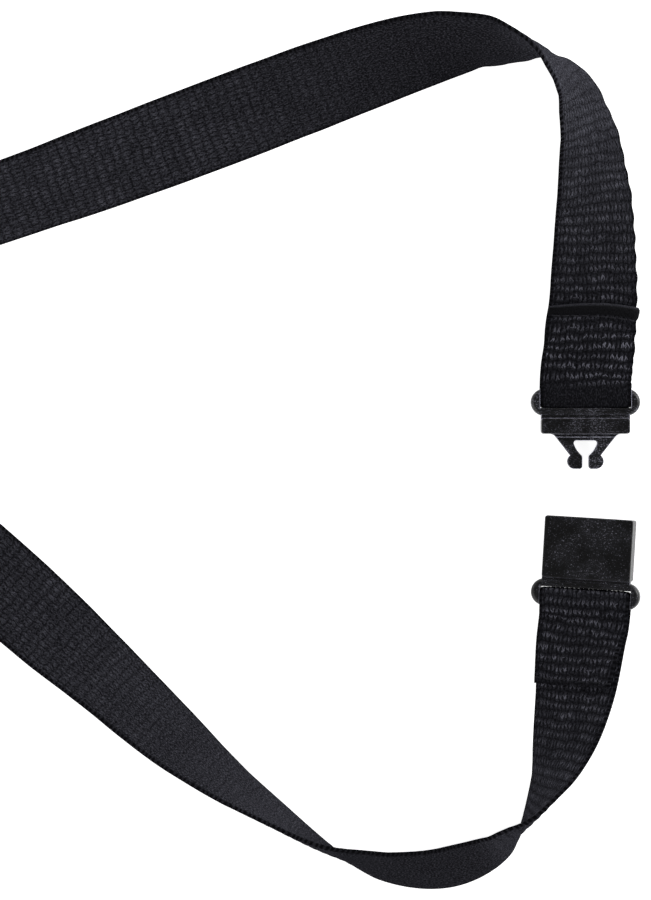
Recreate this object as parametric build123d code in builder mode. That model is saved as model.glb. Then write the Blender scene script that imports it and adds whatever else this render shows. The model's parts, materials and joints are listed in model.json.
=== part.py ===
from build123d import *
from math import cos, hypot, radians, sin, tan
import os

# Neck lanyard of woven webbing with an opened safety breakaway buckle and a swivel snap hook.
# Millimetres, +Z up. The lanyard lies on the plane z = 0. The origin is the middle of the male
# half's flat underside, +Y points from the female half to the male half, and -X to the hook.

# ---- driving dimensions -------------------------------------------------------------------
WEB_WIDTH = 20.0
WEB_THICK = 1.4

BUCKLE_THICK = 4.6
BUCKLE_MID = BUCKLE_THICK / 2
EDGE_ROUND = 0.3
PLATE_WIDTH = 19.65
PLATE_LENGTH = 3.4
LOOP_WIDTH = 24.2
LOOP_THICK = 3.6
LOOP_ROUND = 3.0
LOOP_EDGE = 0.9
LOOP_MIDDLE = 1.3
NECK_THICK = 3.0
SLOT_WIDTH = 20.2
SLOT_NEAR = 2.55
SLOT_FAR = 2.1
SLOT_RIM = 0.4
BAR_THICK = 1.7
WRAP_RADIUS = (BAR_THICK + WEB_THICK) / 2 + 0.05
BOSS_THICK = 2.4
BOSS_HALF = 7.9
PRONG_THICK = 1.6
HOUSING_WIDTH = 19.6
HOUSING_LENGTH = 13.6
HOUSING_DRAFT = 4.5
CAVITY_THICK = 2.8
LEAD_IN = 0.4
LEAD_DEPTH = 5.0

HOUSING_NEAR = 3.25
MOUTH = HOUSING_NEAR + HOUSING_LENGTH
MALE_BAR_Y = 6.6
FEMALE_BAR_V = -1.4
FOLD_FLAT = 7.0
OVERLAP = 0.01

FEMALE_ROLL = 9.0
FEMALE_YAW = 3.4
FEMALE_RISE = 1.65
FEMALE_CLOSED_Y = -36.5

HOOK_Y = 17.2
CRIMP_X = -326.0
CRIMP_LENGTH = 12.0
CRIMP_WALL = 0.8
EYE_BAR_X = -342.0
EYE_BAR_THICK = 3.0
EYE_INNER = 21.6
EYE_REACH = 9.4
SWIVEL_RADIUS = 1.5
SWIVEL_GAP = 0.05
COLLAR_RADIUS = 3.0
COLLAR_LENGTH = 4.0
RIVET_DEPTH = 4.0
RIVET_HEAD = 1.0
HOOK_THICK = 4.0
GATE_THICK = 4.2
LUG_THICK = 2.6
PIN_RADIUS = 0.8

# Webbing routes, from the buckle to the front crimp: x, y of the strap's centre line, the tilt of
# its width (0 flat, 90 on edge, 180 flat and turned over) and how far it is lifted off the surface.
UPPER = [
    (0.9, 17.0, 3, 0), (0.9, 21.5, 7, 0), (1.8, 26.8, 11, 0), (1.9, 38.1, 21, 0),
    (1.9, 48.5, 29, 0), (1.4, 54.6, 38, 0), (0.8, 62.6, 45, 0), (-0.5, 67.9, 53, 0),
    (-2.0, 73.6, 59, 0), (-5.2, 77.9, 68, 0), (-7.2, 79.9, 75, 0), (-9.9, 82.1, 85, 0),
    (-12.6, 83.1, 96, 0), (-16.0, 84.1, 105, 0), (-19.9, 84.5, 116, 0), (-24.2, 85.0, 120, 0),
    (-28.9, 84.5, 129, 0), (-33.1, 83.8, 136, 0), (-42.8, 81.2, 147, 0), (-59.6, 75.3, 157, 0),
    (-80.8, 67.3, 163, 0), (-104.3, 58.4, 157, 0), (-124.1, 51.1, 147, 0), (-152.7, 41.2, 145, 0),
    (-182.7, 31.7, 150, 1.5), (-212.7, 25.2, 160, 3.1), (-247.7, 20.7, 172, 3.0),
    (-282.7, 18.2, 180, 1.8), (-308.0, 17.2, 180, 2.3), (-318.0, 17.2, 180, 2.4),
    (-326.0, 17.2, 180, 2.4),
]
LOWER = [
    (-1.0, -47.4, 17, 0), (-2.0, -56.5, 31, 0), (-3.2, -62.8, 40, 0), (-4.8, -69.5, 50, 0),
    (-6.6, -75.0, 62, 0), (-9.2, -80.6, 76, 0), (-12.7, -86.6, 89, 0), (-17.0, -90.4, 106, 0),
    (-21.1, -93.8, 116, 0), (-28.1, -96.8, 122, 0), (-35.0, -97.9, 120, 0), (-43.1, -97.3, 114, 0),
    (-49.4, -95.7, 106, 0), (-56.2, -93.5, 94, 0), (-61.7, -90.6, 86, 0), (-68.9, -85.7, 78, 0),
    (-75.3, -81.2, 71, 0), (-82.5, -75.9, 62, 0), (-90.0, -69.8, 52, 0), (-97.6, -63.1, 45, 0),
    (-105.5, -55.8, 40, 0), (-115.3, -47.4, 27, 0), (-127.4, -36.7, 14, 0), (-147.7, -19.3, 12, 0),
    (-169.7, -5.3, 22, 0), (-195.7, 4.7, 19, 0), (-222.7, 10.7, 10, 0), (-252.7, 14.4, 4, 0),
    (-287.7, 16.6, 0, 0), (-308.0, 17.2, 0, 0.7), (-318.0, 17.2, 0, 0.9), (-326.0, 17.2, 0, 0.9),
]
UPPER_FOLD_END = 2
UPPER_BEND_END = 19
LOWER_FOLD_END = 1
LOWER_BEND_END = 13

os.makedirs("parts", exist_ok=True)


def save(part, name):
    """Label a finished piece and write it to its own file."""
    part.label = name
    export_step(part, f"parts/{name}.step")


# ---- webbing ------------------------------------------------------------------------------
def station_planes(route):
    """Cross-section planes along a route: x across the webbing, y out of its upper face."""
    planes = []
    for i, (x, y, tilt, lift) in enumerate(route):
        before = route[max(i - 1, 0)]
        after = route[min(i + 1, len(route) - 1)]
        run = hypot(after[0] - before[0], after[1] - before[1])
        ahead = Vector((after[0] - before[0]) / run, (after[1] - before[1]) / run, 0)
        left = Vector(-ahead.Y, ahead.X, 0)
        across = left * cos(radians(tilt)) + Vector(0, 0, sin(radians(tilt)))
        height = WEB_WIDTH / 2 * sin(radians(tilt)) + WEB_THICK / 2 * abs(cos(radians(tilt)))
        planes.append(Plane(origin=(x, y, height + lift), x_dir=across, z_dir=ahead))
    return planes


def stretch(name, planes, layers=1):
    """One stretch of webbing: a ruled skin through its cross-sections."""
    with BuildPart() as web:
        for plane in planes:
            with BuildSketch(plane):
                with Locations((0, (layers - 1) * WEB_THICK / 2)):
                    Rectangle(WEB_WIDTH, layers * WEB_THICK)
        loft(ruled=True)
    save(web.part, name)


def folded_end(name, side_plane, first, planes):
    """Webbing doubled round a bar: side_plane's x runs away from the bar, its y up, and its
    origin is the middle of the bar; the two layers then lie together through the planes."""
    outer = WRAP_RADIUS + WEB_THICK / 2
    inner = WRAP_RADIUS - WEB_THICK / 2
    flat_top = 2 * WEB_THICK - outer
    with BuildPart() as web:
        with BuildSketch(side_plane):
            with BuildLine():
                Line((FOLD_FLAT, flat_top), (FOLD_FLAT, -outer))
                Line((FOLD_FLAT, -outer), (0, -outer))
                ThreePointArc((0, -outer), (-outer, 0), (0, outer))
                FilletPolyline(
                    (0, outer), (2.3, outer), (5.6, flat_top), (FOLD_FLAT, flat_top), radius=2.0
                )
            make_face()
            with BuildLine():
                Line((0, -inner), (4.4, -inner))
                Line((4.4, -inner), (1.8, inner))
                Line((1.8, inner), (0, inner))
                ThreePointArc((0, inner), (-inner, 0), (0, -inner))
            make_face(mode=Mode.SUBTRACT)
        extrude(amount=WEB_WIDTH / 2, both=True)
        for plane in [first] + planes:
            with BuildSketch(plane):
                with Locations((0, WEB_THICK / 2)):
                    Rectangle(WEB_WIDTH, 2 * WEB_THICK)
        loft(ruled=True)
    save(web.part, name)


def seam(name, plane):
    """A row of stitches across a doubled end, with a thread above and one below."""
    stitch_length = 1.7
    pitch = 2.5
    thread = 0.22
    count = 8
    with BuildPart() as stitches:
        for height in (1.5 * WEB_THICK, -WEB_THICK / 2 + 0.1):
            level = Plane(plane.origin + plane.y_dir * height, x_dir=plane.z_dir, z_dir=plane.x_dir)
            for k in range(count):
                middle = (k - (count - 1) / 2) * pitch
                with BuildSketch(level.offset(middle - stitch_length / 2)):
                    Circle(thread)
                extrude(amount=stitch_length)
    save(stitches.part, name)


upper = station_planes(UPPER)
lower = station_planes(LOWER)
stretch("webbing_upper_bend", upper[UPPER_FOLD_END:UPPER_BEND_END + 1])
stretch("webbing_upper_run", upper[UPPER_BEND_END:])
stretch("webbing_lower_bend", lower[LOWER_FOLD_END:LOWER_BEND_END + 1])
stretch("webbing_lower_run", lower[LOWER_BEND_END:])

male_bar = Plane(origin=(0, MALE_BAR_Y, BUCKLE_MID), x_dir=(0, 1, 0), z_dir=(1, 0, 0))
male_first = Plane(
    origin=(0, MALE_BAR_Y + FOLD_FLAT - OVERLAP, BUCKLE_MID - WRAP_RADIUS),
    x_dir=(-1, 0, 0),
    z_dir=(0, 1, 0),
)
folded_end("webbing_male_fold", male_bar, male_first, upper[:UPPER_FOLD_END + 1])
seam("male_seam", upper[1].offset(1.7))

# ---- the female half's place --------------------------------------------------------------
# It lies opened, rolled and turned a little. One hinge through its raised side's far edge lays it
# flat and straight again, in line with the male half.
TURN = hypot(FEMALE_ROLL, FEMALE_YAW)
HINGE = Axis(
    (-FEMALE_RISE / 2 / tan(radians(FEMALE_ROLL / 2)), FEMALE_CLOSED_Y, BUCKLE_MID + FEMALE_RISE / 2),
    (0, FEMALE_ROLL, FEMALE_YAW),
)


def opened(point):
    """Where a point of the closed, lined-up female half lies while it is opened."""
    arm = Vector(*point) - HINGE.position
    return HINGE.position + arm.rotate(Axis((0, 0, 0), HINGE.direction), -TURN)


def female_plane(origin, x_dir, z_dir):
    """A plane given for the closed female half, placed where that half lies."""
    base = opened(origin)
    tip_x = opened([a + b for a, b in zip(origin, x_dir)])
    tip_z = opened([a + b for a, b in zip(origin, z_dir)])
    return Plane(origin=base, x_dir=tip_x - base, z_dir=tip_z - base)


def on_female(height=0.0):
    """The female half's own level plane: x across, y towards its mouth, z out of its face."""
    return female_plane((0, FEMALE_CLOSED_Y, BUCKLE_MID + height), (1, 0, 0), (0, 0, 1))


female_bar = female_plane((0, FEMALE_CLOSED_Y + FEMALE_BAR_V, BUCKLE_MID), (0, -1, 0), (-1, 0, 0))
female_first = female_plane(
    (0, FEMALE_CLOSED_Y + FEMALE_BAR_V - FOLD_FLAT + OVERLAP, BUCKLE_MID - WRAP_RADIUS),
    (1, 0, 0),
    (0, -1, 0),
)
folded_end("webbing_female_fold", female_bar, female_first, lower[:LOWER_FOLD_END + 1])
seam("female_seam", lower[0].offset(6.5))


# ---- buckle -------------------------------------------------------------------------------
def long_edges(part, level, v):
    """The edges of a part that run across its level plane at this place along it."""
    across = part.edges().filter_by(Axis(level.origin, level.x_dir))
    return across.filter_by(lambda edge: abs(level.to_local_coords(edge.center()).Y - v) < 0.01)


def web_loop(part, level, side, bar):
    """The loop that holds the webbing: rounded ends, a slot, and a thin bar with room above and
    below it for the webbing. side is +1 where the webbing leaves towards +y of the level plane."""
    bulge = LOOP_WIDTH / 2 - LOOP_ROUND
    middle = bar - side * LOOP_MIDDLE
    slot_far = bar - side * SLOT_NEAR
    outer_end = bar + side * SLOT_FAR
    with BuildSketch(level.offset(-LOOP_THICK / 2)) as outline:
        with Locations((-bulge, middle), (bulge, middle)):
            Circle(LOOP_ROUND)
        with Locations((0, middle)):
            Rectangle(2 * bulge, 2 * LOOP_ROUND - 0.3)
    extrude(outline.sketch, amount=LOOP_THICK)
    by_height = part.faces().sort_by(Axis(level.origin, level.z_dir))
    fillet(by_height[0].edges() + by_height[-1].edges(), LOOP_EDGE)
    with BuildSketch(level.offset(-LOOP_THICK)) as room:
        with Locations((0, (slot_far + outer_end) / 2)):
            Rectangle(SLOT_WIDTH, abs(slot_far - outer_end))
    extrude(room.sketch, amount=2 * LOOP_THICK, mode=Mode.SUBTRACT)
    fillet(long_edges(part, level, slot_far), SLOT_RIM)
    across = Plane(level.origin + level.y_dir * bar, x_dir=level.y_dir * side, z_dir=level.x_dir)
    with BuildSketch(across) as round_bar:
        Circle(BAR_THICK / 2)
        with Locations((0.7, 0)):
            Rectangle(1.4, BAR_THICK)
    extrude(round_bar.sketch, amount=SLOT_WIDTH / 2 + 0.4, both=True)


male_level = Plane.XY.offset(BUCKLE_MID)
SHOULDER_Y = -PLATE_LENGTH / 2
BOSS_ROOT = SHOULDER_Y + 0.5
BOSS_END = SHOULDER_Y - 0.75
PRONG_ROOT = 6.55
WINDOW_TOP = -3.2
NOTCH_Y = -6.5
TIP_Y = -9.5
SLIT_HALF = 0.69
SLIT_ROUND = 0.7
with BuildPart() as male_half:
    web_loop(male_half, male_level, 1, MALE_BAR_Y)
    with BuildSketch(male_level.offset(-NECK_THICK / 2)):
        with Locations((0, PLATE_LENGTH / 2 + 0.55)):
            Rectangle(PLATE_WIDTH, 1.6)
    extrude(amount=NECK_THICK)
    with BuildSketch(Plane.XY):
        RectangleRounded(PLATE_WIDTH, PLATE_LENGTH, 0.6)
    extrude(amount=BUCKLE_THICK)
    fillet(male_half.faces().sort_by(Axis.Z)[-1].edges(), EDGE_ROUND)
    with BuildSketch(male_level.offset(-BOSS_THICK / 2)):
        with BuildLine():
            Line((0, BOSS_ROOT), (BOSS_HALF, BOSS_ROOT))
            Line((BOSS_HALF, BOSS_ROOT), (BOSS_HALF, SHOULDER_Y))
            ThreePointArc((BOSS_HALF, SHOULDER_Y), (7.15, SHOULDER_Y - 0.2), (PRONG_ROOT, BOSS_END))
            Line((PRONG_ROOT, BOSS_END), (0, BOSS_END))
            Line((0, BOSS_END), (0, BOSS_ROOT))
        make_face()
        mirror(about=Plane.YZ)
    extrude(amount=BOSS_THICK)
    with BuildSketch(male_level.offset(-PRONG_THICK / 2)):
        with BuildLine():
            Line((0, WINDOW_TOP), (1.95, WINDOW_TOP))
            ThreePointArc((1.95, WINDOW_TOP), (2.45, WINDOW_TOP - 0.2), (2.55, WINDOW_TOP - 0.75))
            ThreePointArc((2.55, WINDOW_TOP - 0.75), (1.95, WINDOW_TOP - 2.0), (1.05, NOTCH_Y + 0.2))
            ThreePointArc((1.05, NOTCH_Y + 0.2), (0.78, NOTCH_Y - 0.1), (SLIT_HALF, NOTCH_Y - 0.5))
            Line((SLIT_HALF, NOTCH_Y - 0.5), (SLIT_HALF, TIP_Y + SLIT_ROUND))
            ThreePointArc(
                (SLIT_HALF, TIP_Y + SLIT_ROUND),
                (SLIT_HALF + 0.2, TIP_Y + 0.2),
                (SLIT_HALF + SLIT_ROUND, TIP_Y),
            )
            Line((SLIT_HALF + SLIT_ROUND, TIP_Y), (2.4, TIP_Y))
            ThreePointArc((2.4, TIP_Y), (4.03, TIP_Y + 1.7), (3.4, NOTCH_Y))
            Line((3.4, NOTCH_Y), (PRONG_ROOT, BOSS_END))
            Line((PRONG_ROOT, BOSS_END), (PRONG_ROOT, SHOULDER_Y))
            Line((PRONG_ROOT, SHOULDER_Y), (0, SHOULDER_Y))
            Line((0, SHOULDER_Y), (0, WINDOW_TOP))
        make_face()
        mirror(about=Plane.YZ)
    extrude(amount=PRONG_THICK)
save(male_half.part, "male_half")

female_level = on_female()
female_side = Plane(female_level.origin, x_dir=female_level.y_dir, z_dir=female_level.x_dir)
FUNNEL_HALF = 4.3
ROOM_HALF = 5.6
ROOM_END = MOUTH - 8.4
with BuildPart() as female_half:
    web_loop(female_half, female_level, -1, FEMALE_BAR_V)
    with BuildSketch(female_level.offset(-NECK_THICK / 2)):
        with Locations((0, HOUSING_NEAR - 0.3)):
            Rectangle(HOUSING_WIDTH, 1.2)
    extrude(amount=NECK_THICK)
    bottom_width = HOUSING_WIDTH + 2 * BUCKLE_THICK * tan(radians(HOUSING_DRAFT))
    for height, width in ((-BUCKLE_THICK / 2, bottom_width), (BUCKLE_THICK / 2, HOUSING_WIDTH)):
        with BuildSketch(female_level.offset(height)):
            with Locations((0, HOUSING_NEAR + HOUSING_LENGTH / 2)):
                RectangleRounded(width, HOUSING_LENGTH, 0.5)
    loft(ruled=True)
    by_height = female_half.faces().sort_by(Axis(female_level.origin, female_level.z_dir))
    fillet(by_height[0].edges() + by_height[-1].edges(), EDGE_ROUND)
    with BuildSketch(female_level.offset(-CAVITY_THICK / 2)):
        with BuildLine():
            Polyline(
                (0, MOUTH + 0.1), (7.9, MOUTH + 0.1), (6.9, MOUTH - 1.0), (FUNNEL_HALF, MOUTH - 4.5),
                (FUNNEL_HALF, MOUTH - 5.0), (ROOM_HALF, MOUTH - 5.5), (ROOM_HALF, ROOM_END),
                (0, ROOM_END), (0, MOUTH + 0.1),
            )
        make_face()
        mirror(about=Plane.YZ)
    extrude(amount=CAVITY_THICK, mode=Mode.SUBTRACT)
    with BuildSketch(female_side):
        with BuildLine():
            Polyline(
                (MOUTH - LEAD_DEPTH, 0), (MOUTH - LEAD_DEPTH, CAVITY_THICK / 2),
                (MOUTH + 0.1, CAVITY_THICK / 2 + LEAD_IN), (MOUTH + 0.1, 0), (MOUTH - LEAD_DEPTH, 0),
            )
        make_face()
        mirror(about=Plane.XZ)
    extrude(amount=FUNNEL_HALF, both=True, mode=Mode.SUBTRACT)
save(female_half.part, "female_half")

# ---- front fitting ------------------------------------------------------------------------
# The straps end inside the crimp, the lower one under the upper one. A short loop of webbing
# leaves the crimp, goes round the swivel eye's bar and comes back.
LOW_LAYER = LOWER[-1][3] + WEB_THICK / 2
HIGH_LAYER = UPPER[-1][3] + WEB_THICK / 2
SWIVEL_Z = 3.2
EYE_WRAP = (EYE_BAR_THICK + WEB_THICK) / 2 + 0.25
LEGS_PART = CRIMP_X - 7.2
LEGS_LEVEL = EYE_BAR_X + 3.0
FLAT_ANGLE = 30


def loop_side(offset):
    """The loop's centre line from the side, moved outwards by offset: back along the upper layer,
    round the eye's bar in flats and out along the lower one."""
    reach = (EYE_WRAP + offset) / cos(radians(FLAT_ANGLE / 2))
    turns = [radians(90 + FLAT_ANGLE * (k + 0.5)) for k in range(180 // FLAT_ANGLE)]
    return [
        (CRIMP_X, HIGH_LAYER + offset),
        (LEGS_PART, HIGH_LAYER + offset),
        (LEGS_LEVEL, SWIVEL_Z + EYE_WRAP + offset),
        *[(EYE_BAR_X + reach * cos(turn), SWIVEL_Z + reach * sin(turn)) for turn in turns],
        (LEGS_LEVEL, SWIVEL_Z - EYE_WRAP - offset),
        (LEGS_PART, LOW_LAYER - offset),
        (CRIMP_X, LOW_LAYER - offset),
    ]


with BuildPart() as front_loop:
    with BuildSketch(Plane(origin=(0, HOOK_Y, 0), x_dir=(1, 0, 0), z_dir=(0, -1, 0))):
        Polygon(*loop_side(WEB_THICK / 2), *reversed(loop_side(-WEB_THICK / 2)), align=None)
    extrude(amount=WEB_WIDTH / 2, both=True)
save(front_loop.part, "webbing_front_loop")

crimp_low = LOW_LAYER - WEB_THICK / 2
crimp_high = HIGH_LAYER + WEB_THICK / 2
with BuildPart() as front_crimp:
    with BuildSketch(Plane.YZ.offset(CRIMP_X - CRIMP_LENGTH / 2)):
        with Locations((HOOK_Y, (crimp_low + crimp_high) / 2)):
            RectangleRounded(WEB_WIDTH + 0.4 + 2 * CRIMP_WALL, crimp_high - crimp_low + 2 * CRIMP_WALL, 1.0)
            Rectangle(WEB_WIDTH + 0.4, crimp_high - crimp_low, mode=Mode.SUBTRACT)
    extrude(amount=CRIMP_LENGTH)
save(front_crimp.part, "front_crimp")

eye_far = EYE_BAR_X - EYE_REACH
eye_outer = EYE_INNER + 2 * EYE_BAR_THICK
with BuildPart() as swivel_eye:
    with BuildSketch(Plane.XY.offset(SWIVEL_Z - EYE_BAR_THICK / 2)):
        with Locations(((EYE_BAR_X + eye_far) / 2, HOOK_Y)):
            RectangleRounded(EYE_REACH + EYE_BAR_THICK, eye_outer, 2.5)
            RectangleRounded(EYE_REACH - EYE_BAR_THICK, EYE_INNER, 0.8, mode=Mode.SUBTRACT)
    extrude(amount=EYE_BAR_THICK)
    fillet(swivel_eye.edges().filter_by(Plane.XY), 1.2)
    collar_end = eye_far - EYE_BAR_THICK / 2 - COLLAR_LENGTH
    with BuildSketch(Plane.YZ.offset(collar_end)):
        with Locations((HOOK_Y, SWIVEL_Z)):
            Circle(COLLAR_RADIUS)
    extrude(amount=eye_far - collar_end)
    with BuildSketch(Plane.YZ.offset(collar_end)):
        with Locations((HOOK_Y, SWIVEL_Z)):
            Circle(SWIVEL_RADIUS + SWIVEL_GAP)
    extrude(amount=EYE_REACH, mode=Mode.SUBTRACT)
save(swivel_eye.part, "swivel_eye")

hook_start = collar_end - 0.3
rivet_head = eye_far + EYE_BAR_THICK / 2 + 0.1
with BuildPart() as swivel_rivet:
    with BuildSketch(Plane.YZ.offset(hook_start - RIVET_DEPTH)):
        with Locations((HOOK_Y, SWIVEL_Z)):
            Circle(SWIVEL_RADIUS)
    extrude(amount=rivet_head - hook_start + RIVET_DEPTH)
    with BuildSketch(Plane.YZ.offset(rivet_head)):
        with Locations((HOOK_Y, SWIVEL_Z)):
            Circle(2.5)
    extrude(amount=RIVET_HEAD)
    fillet(swivel_rivet.faces().sort_by(Axis.X)[-1].edges(), 0.5)
save(swivel_rivet.part, "swivel_rivet")

# The hook's own plane: x away from the strap, y across it, z out of its lower face.
hook_mid = Plane(origin=(hook_start, HOOK_Y, SWIVEL_Z), x_dir=(-1, 0, 0), z_dir=(0, 0, -1))
GATE_PIVOT = (9.5, 5.2)
NOSE_RADIUS = 7.0
NOSE_X = 24.0
with BuildPart() as hook_body:
    with BuildSketch(hook_mid.offset(-HOOK_THICK / 2)):
        with BuildLine():
            FilletPolyline((3.0, 0), (8.0, -NOSE_RADIUS), (NOSE_X, -NOSE_RADIUS), radius=5)
            ThreePointArc((NOSE_X, -NOSE_RADIUS), (NOSE_X + NOSE_RADIUS, 0), (NOSE_X, NOSE_RADIUS))
            Line((NOSE_X, NOSE_RADIUS), (NOSE_X - 2.2, NOSE_RADIUS))
        trace(line_width=3.6)
        with Locations((2.5, 0)):
            RectangleRounded(5.0, 6.0, 0.8)
    extrude(amount=HOOK_THICK)
    with BuildSketch(hook_mid.offset(-LUG_THICK / 2)):
        Polygon((2.0, 2.9), (8.4, 7.2), (10.5, 3.2), (5.5, -2.5), (2.0, -2.5), align=None)
        with Locations(GATE_PIVOT):
            Circle(2.3)
    extrude(amount=LUG_THICK)
    with BuildSketch(hook_mid.offset(-HOOK_THICK)):
        with Locations(GATE_PIVOT):
            Circle(PIN_RADIUS)
    extrude(amount=2 * HOOK_THICK, mode=Mode.SUBTRACT)
    with BuildSketch(Plane.YZ.offset(hook_start - RIVET_DEPTH)):
        with Locations((HOOK_Y, SWIVEL_Z)):
            Circle(SWIVEL_RADIUS)
    extrude(amount=RIVET_DEPTH + 1.0, mode=Mode.SUBTRACT)
save(hook_body.part, "hook_body")

GATE_TIP = NOSE_X - 2.6
GATE_HOLLOW = 2.9
with BuildPart() as hook_gate:
    with BuildSketch(hook_mid.offset(-GATE_THICK / 2)):
        with BuildLine():
            Line(GATE_PIVOT, (GATE_TIP, NOSE_RADIUS))
        trace(line_width=3.4)
        with Locations(GATE_PIVOT):
            Circle(1.9)
        with Locations((GATE_PIVOT[0] + 4.5, NOSE_RADIUS + 1.0)):
            Circle(1.6)
    extrude(amount=GATE_THICK)
    with BuildSketch(hook_mid.offset(-LUG_THICK / 2 - 0.1)):
        with Locations(GATE_PIVOT):
            Circle(GATE_HOLLOW)
    extrude(amount=LUG_THICK + 0.2, mode=Mode.SUBTRACT)
    with BuildSketch(hook_mid.offset(-HOOK_THICK)):
        with Locations(GATE_PIVOT):
            Circle(PIN_RADIUS + SWIVEL_GAP)
    extrude(amount=2 * HOOK_THICK, mode=Mode.SUBTRACT)
save(hook_gate.part, "hook_gate")

with BuildPart() as gate_pin:
    with BuildSketch(hook_mid.offset(-GATE_THICK / 2 - 0.1)):
        with Locations(GATE_PIVOT):
            Circle(PIN_RADIUS)
    extrude(amount=GATE_THICK + 0.2)
save(gate_pin.part, "gate_pin")

# The spring is a strip curled round the hook's lug inside the gate, with its middle let into the
# gate, so that it turns with the gate and stays clear of the lug.
SPRING_RADIUS = 2.6
SPRING_THICK = 0.24
SPRING_WIDTH = 2.0
with BuildPart() as gate_spring:
    with BuildSketch(hook_mid.offset(-SPRING_WIDTH / 2)):
        with BuildLine():
            CenterArc(GATE_PIVOT, SPRING_RADIUS, -38, 148)
        trace(line_width=SPRING_THICK)
        with BuildLine():
            Line(
                (GATE_PIVOT[0] + SPRING_RADIUS, GATE_PIVOT[1] + 0.3),
                (GATE_PIVOT[0] + GATE_HOLLOW + 0.5, GATE_PIVOT[1] + 0.4),
            )
        trace(line_width=SPRING_THICK)
    extrude(amount=SPRING_WIDTH)
save(gate_spring.part, "gate_spring")
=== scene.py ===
import json
import math

import bpy
import numpy as np
from mathutils import Matrix, Vector


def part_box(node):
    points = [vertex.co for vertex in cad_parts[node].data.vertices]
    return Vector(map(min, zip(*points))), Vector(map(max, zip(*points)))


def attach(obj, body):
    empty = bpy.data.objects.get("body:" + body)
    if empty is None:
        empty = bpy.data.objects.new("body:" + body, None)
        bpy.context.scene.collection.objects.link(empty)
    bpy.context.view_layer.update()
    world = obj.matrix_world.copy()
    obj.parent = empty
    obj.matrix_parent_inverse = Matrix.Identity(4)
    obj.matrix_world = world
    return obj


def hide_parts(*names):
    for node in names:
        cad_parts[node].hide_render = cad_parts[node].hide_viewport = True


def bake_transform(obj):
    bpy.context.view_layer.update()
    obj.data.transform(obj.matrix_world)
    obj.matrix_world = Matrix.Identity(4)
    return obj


# An opened neck lanyard of black woven webbing, lying on a pale table and seen from straight above.
# Everything is in metres in the frame's own axes: the origin is under the male half of the buckle,
# +Y runs from the female half to the male one, and -X to the snap hook.

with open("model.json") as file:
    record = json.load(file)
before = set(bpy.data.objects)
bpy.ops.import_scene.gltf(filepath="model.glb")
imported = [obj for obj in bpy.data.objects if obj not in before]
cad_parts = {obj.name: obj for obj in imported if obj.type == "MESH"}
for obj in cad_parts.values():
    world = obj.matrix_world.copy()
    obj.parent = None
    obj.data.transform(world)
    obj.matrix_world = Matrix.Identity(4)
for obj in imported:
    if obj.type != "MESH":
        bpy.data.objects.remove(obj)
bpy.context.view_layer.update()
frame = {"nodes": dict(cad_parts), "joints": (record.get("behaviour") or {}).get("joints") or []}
MM = 0.001


# ---- camera ---------------------------------------------------------------------------------
# It looks straight down, and the height of its frame covers VIEW_TALL of the table.
VIEW_CENTRE = (-57.6 * MM, -5.3 * MM)
VIEW_HEIGHT = 1.0
VIEW_TALL = 200.0 * MM
SENSOR = 36.0

camera_data = bpy.data.cameras.new("camera")
camera_data.sensor_width = SENSOR
camera_data.lens = SENSOR * VIEW_HEIGHT / VIEW_TALL
camera_data.clip_start = 0.05
camera_data.clip_end = 20.0
camera = bpy.data.objects.new("camera", camera_data)
camera.location = (*VIEW_CENTRE, VIEW_HEIGHT)
bpy.context.scene.collection.objects.link(camera)
bpy.context.scene.camera = camera
bpy.context.scene.view_settings.view_transform = "Standard"


# ---- webbing routes -------------------------------------------------------------------------
# Stations and places by the buckle are in millimetres, and so are WIDE and THIN. A PICK is one rib
# of the webbing, and a YARN one of the knobs along the rib. HALF_WIDTH reaches to the outer yarns.
WIDE = 20.0
THIN = 1.4
WIDTH = WIDE * MM
THICK = THIN * MM
HALF_WIDTH = 10.1 * MM
PICK = 2.2 * MM
YARN = 1.04 * MM
ROW_STEP = PICK / 4

# Each station: x, y of the strap's middle, the tilt of its width in degrees (0 flat, 90 on edge,
# 180 turned over), and how far it is lifted off the table.
UPPER = [
    (0.9, 17.0, 3, 0), (0.9, 21.5, 7, 0), (1.8, 26.8, 11, 0), (1.9, 38.1, 21, 0),
    (1.9, 48.5, 29, 0), (1.4, 54.6, 38, 0), (0.8, 62.6, 45, 0), (-0.5, 67.9, 53, 0),
    (-2.0, 73.6, 59, 0), (-5.2, 77.9, 68, 0), (-7.2, 79.9, 75, 0), (-9.9, 82.1, 85, 0),
    (-12.6, 83.1, 96, 0), (-16.0, 84.1, 105, 0), (-19.9, 84.5, 116, 0), (-24.2, 85.0, 120, 0),
    (-28.9, 84.5, 129, 0), (-33.1, 83.8, 136, 0), (-42.8, 81.2, 147, 0), (-59.6, 75.3, 157, 0),
    (-80.8, 67.3, 163, 0), (-104.3, 58.4, 157, 0), (-124.1, 51.1, 147, 0), (-152.7, 41.2, 145, 0),
    (-182.7, 31.7, 150, 1.5), (-212.7, 25.2, 160, 3.1), (-247.7, 20.7, 172, 3.0),
    (-282.7, 18.2, 180, 1.8), (-308.0, 17.2, 180, 2.3), (-318.0, 17.2, 180, 2.4),
    (-326.0, 17.2, 180, 2.4),
]
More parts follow.
